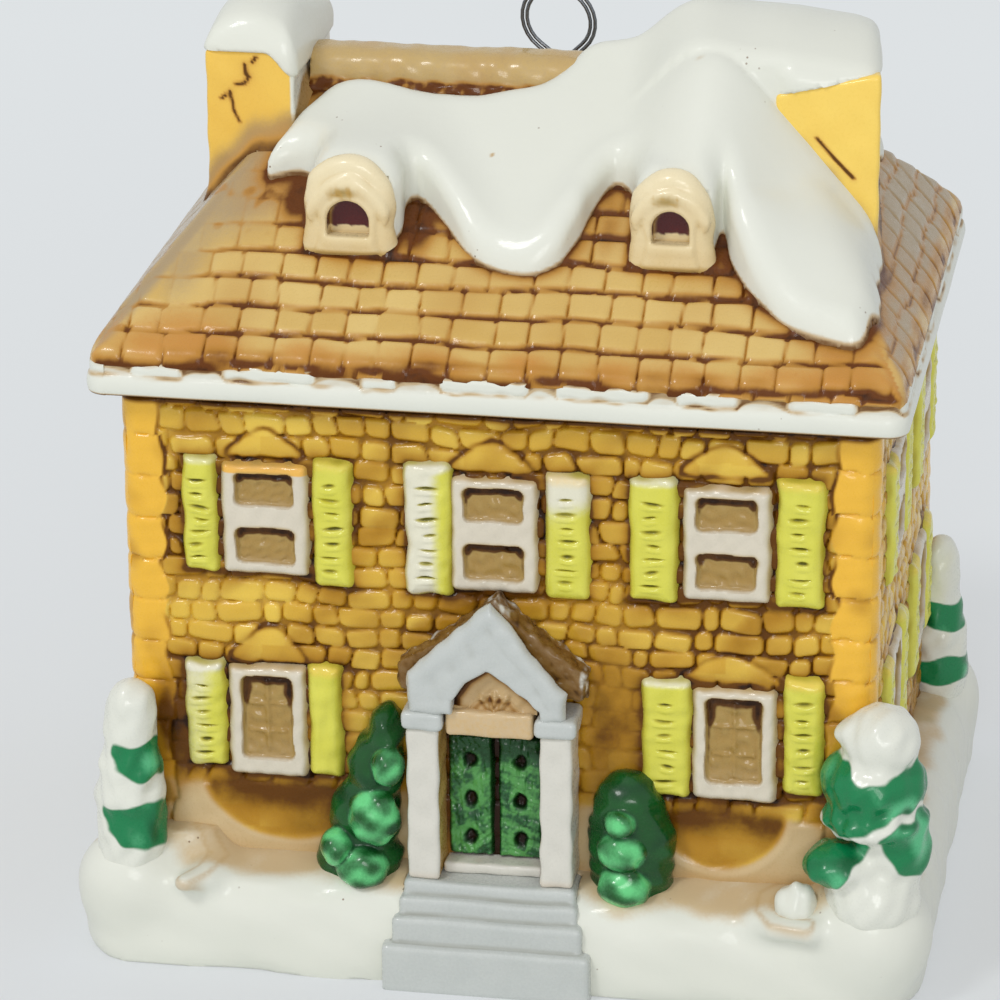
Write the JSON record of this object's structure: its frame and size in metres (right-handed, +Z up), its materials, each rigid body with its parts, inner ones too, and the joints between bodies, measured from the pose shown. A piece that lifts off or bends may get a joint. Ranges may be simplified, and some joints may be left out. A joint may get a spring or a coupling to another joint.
{
  "type": "house-shaped hanging ornament",
  "caption": "Small glazed porcelain ornament shaped as a two-storey stone house under snow, hollow, with a wire loop that swivels in its roof.",
  "frame": {"origin": "middle of the ornament's footprint, on the surface that it stands on", "axes": "+Z up, -Y out of the front of the house, +X to the right of the front"},
  "size_m": [0.0664, 0.0536, 0.0732],
  "materials": {
    "stone_glaze": "ochre glaze over moulded stone blocks, brown wash in the joints, glossy",
    "shingle_glaze": "tan glaze over moulded shingles, brown wash in the joints, glossy",
    "snow_glaze": "bare white porcelain, softly glossy",
    "chimney_glaze": "warm yellow glaze with brown cracks",
    "dormer_glaze": "cream glaze with a brown wash",
    "frame_glaze": "off-white porcelain with a thin tan wash",
    "shutter_glaze": "lime yellow glaze with dark louvre marks",
    "grey_glaze": "pale blue-grey glaze, glossy",
    "green_glaze": "green glaze, dark in the hollows and light on the tops",
    "steel_wire": "dull drawn steel wire"
  },
  "bodies": {
    "house": {"wall_shell": "stone_glaze", "roof_shell": "shingle_glaze", "ridge_cap": "shingle_glaze", "porch_roof": "shingle_glaze", "ground_base": "snow_glaze", "snow_blanket": "snow_glaze", "chimney_snow_left": "snow_glaze", "snow_rock": "snow_glaze", "chimney_left": "chimney_glaze", "chimney_right": "chimney_glaze", "dormer_left": "dormer_glaze", "dormer_right": "dormer_glaze", "window_upper_left": "frame_glaze", "window_upper_middle": "frame_glaze", "window_upper_right": "frame_glaze", "window_lower_left": "frame_glaze", "window_lower_right": "frame_glaze", "shutter_upper_left_left": "shutter_glaze", "shutter_upper_left_right": "shutter_glaze", "shutter_upper_middle_left": "shutter_glaze", "shutter_upper_middle_right": "shutter_glaze", "shutter_upper_right_left": "shutter_glaze", "shutter_upper_right_right": "shutter_glaze", "shutter_lower_left_left": "shutter_glaze", "shutter_lower_left_right": "shutter_glaze", "shutter_lower_right_left": "shutter_glaze", "shutter_lower_right_right": "shutter_glaze", "window_right_side_upper_front": "shutter_glaze", "window_right_side_upper_rear": "shutter_glaze", "window_right_side_lower_front": "shutter_glaze", "window_right_side_lower_rear": "shutter_glaze", "window_left_side_upper_front": "shutter_glaze", "window_left_side_upper_rear": "shutter_glaze", "window_left_side_lower_front": "shutter_glaze", "window_left_side_lower_rear": "shutter_glaze", "window_back_upper_left": "shutter_glaze", "window_back_upper_middle": "shutter_glaze", "window_back_upper_right": "shutter_glaze", "window_back_lower_left": "shutter_glaze", "window_back_lower_right": "shutter_glaze", "back_door": "green_glaze", "door_left": "green_glaze", "door_right": "green_glaze", "door_sill": "frame_glaze", "porch_post_left": "frame_glaze", "porch_post_right": "frame_glaze", "porch_lintel": "frame_glaze", "porch_tympanum": "frame_glaze", "porch_capital_left": "grey_glaze", "porch_capital_right": "grey_glaze", "porch_pediment": "grey_glaze", "porch_steps": "grey_glaze", "tree_front_left": "green_glaze", "tree_front_right": "green_glaze", "tree_back_right": "green_glaze", "tree_back_left": "green_glaze", "shrub_left": "green_glaze", "shrub_right": "green_glaze"},
    "hanger": {"wire_hanger": "steel_wire"}
  },
  "joints": [
    {"name": "hanger_swivel", "type": "hinge", "parent": "house", "child": "hanger", "pos_m": [0.0009, 0.00598, 0.0645], "axis": [0, 0, 1], "continuous": true}
  ]
}
